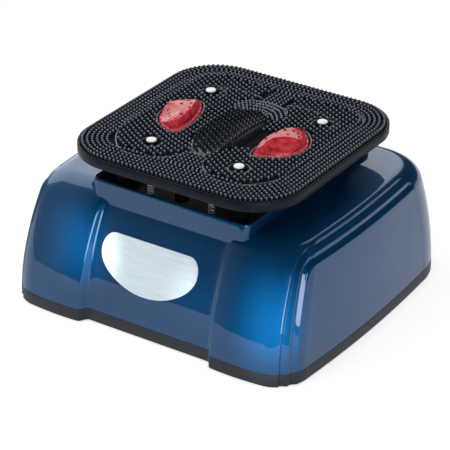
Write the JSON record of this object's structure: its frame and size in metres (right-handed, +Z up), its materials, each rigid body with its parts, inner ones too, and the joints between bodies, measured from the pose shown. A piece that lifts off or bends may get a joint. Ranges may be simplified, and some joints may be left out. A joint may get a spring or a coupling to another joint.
{
  "type": "foot massage machine",
  "caption": "Boxy floor machine for feet: a crank carries a nubbed foot plate with domes round in a small circle over a glossy housing.",
  "frame": {"origin": "centre of the footprint on the floor", "axes": "+X to the right seen from the front, +Y to the back, +Z up"},
  "size_m": [0.4616, 0.4347, 0.2445],
  "materials": {
    "blue_paint": "gloss metallic blue",
    "plinth_grey": "satin",
    "badge_silver": "brushed",
    "plate_black": "satin",
    "black_plastic": "matt",
    "rubber_black": "matt",
    "dome_red": "gloss",
    "rocker_red": "gloss",
    "cap_white": "gloss",
    "bright_steel": "bright",
    "cast_alloy": "as cast",
    "motor_can": "satin",
    "weight_iron": "as cast",
    "pin_brass": "bright",
    "board_green": "satin"
  },
  "bodies": {
    "base": {"base_pan": "plinth_grey", "housing_shell": "blue_paint", "front_badge": "badge_silver", "rubber_foot_front_left": "rubber_black", "rubber_foot_front_right": "rubber_black", "rubber_foot_back_right": "rubber_black", "rubber_foot_back_left": "rubber_black", "base_screw_front_left": "bright_steel", "base_screw_front_right": "bright_steel", "base_screw_back_right": "bright_steel", "base_screw_back_left": "bright_steel", "chassis_plate": "bright_steel", "bearing_housing": "cast_alloy", "bearing_lower": "bright_steel", "bearing_upper": "bright_steel", "drive_belt": "rubber_black", "motor_body": "motor_can", "well_tray": "black_plastic", "support_spring_front_left": "bright_steel", "support_spring_front_right": "bright_steel", "support_spring_back_right": "bright_steel", "support_spring_back_left": "bright_steel", "rear_panel": "black_plastic", "power_inlet": "black_plastic", "inlet_pin_line": "pin_brass", "inlet_pin_neutral": "pin_brass", "inlet_pin_earth": "pin_brass", "switch_bezel": "plate_black", "fuse_holder": "black_plastic", "control_board": "board_green"},
    "crank": {"crank_shaft": "bright_steel", "counterweight": "weight_iron", "driven_pulley": "cast_alloy", "pulley_nut": "bright_steel"},
    "motor_rotor": {"motor_shaft": "bright_steel", "motor_pulley": "cast_alloy"},
    "plate": {"foot_plate": "plate_black", "massage_mat": "rubber_black", "massage_dome_left": "dome_red", "massage_dome_right": "dome_red", "lamp_board_left": "board_green", "lamp_board_right": "board_green", "screw_cap_front_left": "cap_white", "screw_cap_front_right": "cap_white", "screw_cap_back_right": "cap_white", "screw_cap_back_left": "cap_white", "rubber_buffer_1": "rubber_black", "rubber_buffer_2": "rubber_black", "rubber_buffer_3": "rubber_black", "rubber_buffer_4": "rubber_black", "rubber_buffer_5": "rubber_black", "rubber_buffer_6": "rubber_black", "plate_hub": "cast_alloy", "eccentric_bearing": "bright_steel"},
    "rocker": {"power_rocker": "rocker_red"},
    "button_start_body": {"button_start": "cap_white"},
    "button_faster_body": {"button_faster": "cap_white"},
    "button_slower_body": {"button_slower": "cap_white"}
  },
  "joints": [
    {"name": "crank_spin", "type": "hinge", "parent": "base", "child": "crank", "pos_m": [0, 0, 0.14], "axis": [0, 0, 1], "continuous": true},
    {"name": "plate_orbit", "type": "hinge", "parent": "crank", "child": "plate", "pos_m": [0.002, 0, 0.16], "axis": [0, 0, 1], "continuous": true},
    {"name": "motor_spin", "type": "hinge", "parent": "base", "child": "motor_rotor", "pos_m": [-0.088, 0, 0.05], "axis": [0, 0, 1], "continuous": true},
    {"name": "power_switch", "type": "hinge", "parent": "base", "child": "rocker", "pos_m": [0.016, 0.1984, 0.07], "axis": [1, 0, 0], "range_deg": [0, 14]},
    {"name": "press_start", "type": "slide", "parent": "base", "child": "button_start_body", "axis": [0, -1, 0], "range_m": [0, 0.0015], "stiffness_N_per_m": 400, "springref_m": -0.0005},
    {"name": "press_faster", "type": "slide", "parent": "base", "child": "button_faster_body", "axis": [0, -1, 0], "range_m": [0, 0.0015], "stiffness_N_per_m": 400, "springref_m": -0.0005},
    {"name": "press_slower", "type": "slide", "parent": "base", "child": "button_slower_body", "axis": [0, -1, 0], "range_m": [0, 0.0015], "stiffness_N_per_m": 400, "springref_m": -0.0005}
  ],
  "couplings": [
    {"joint": "plate_orbit", "follows": "crank_spin", "ratio": -1},
    {"joint": "motor_spin", "follows": "crank_spin", "ratio": 3.3333}
  ]
}
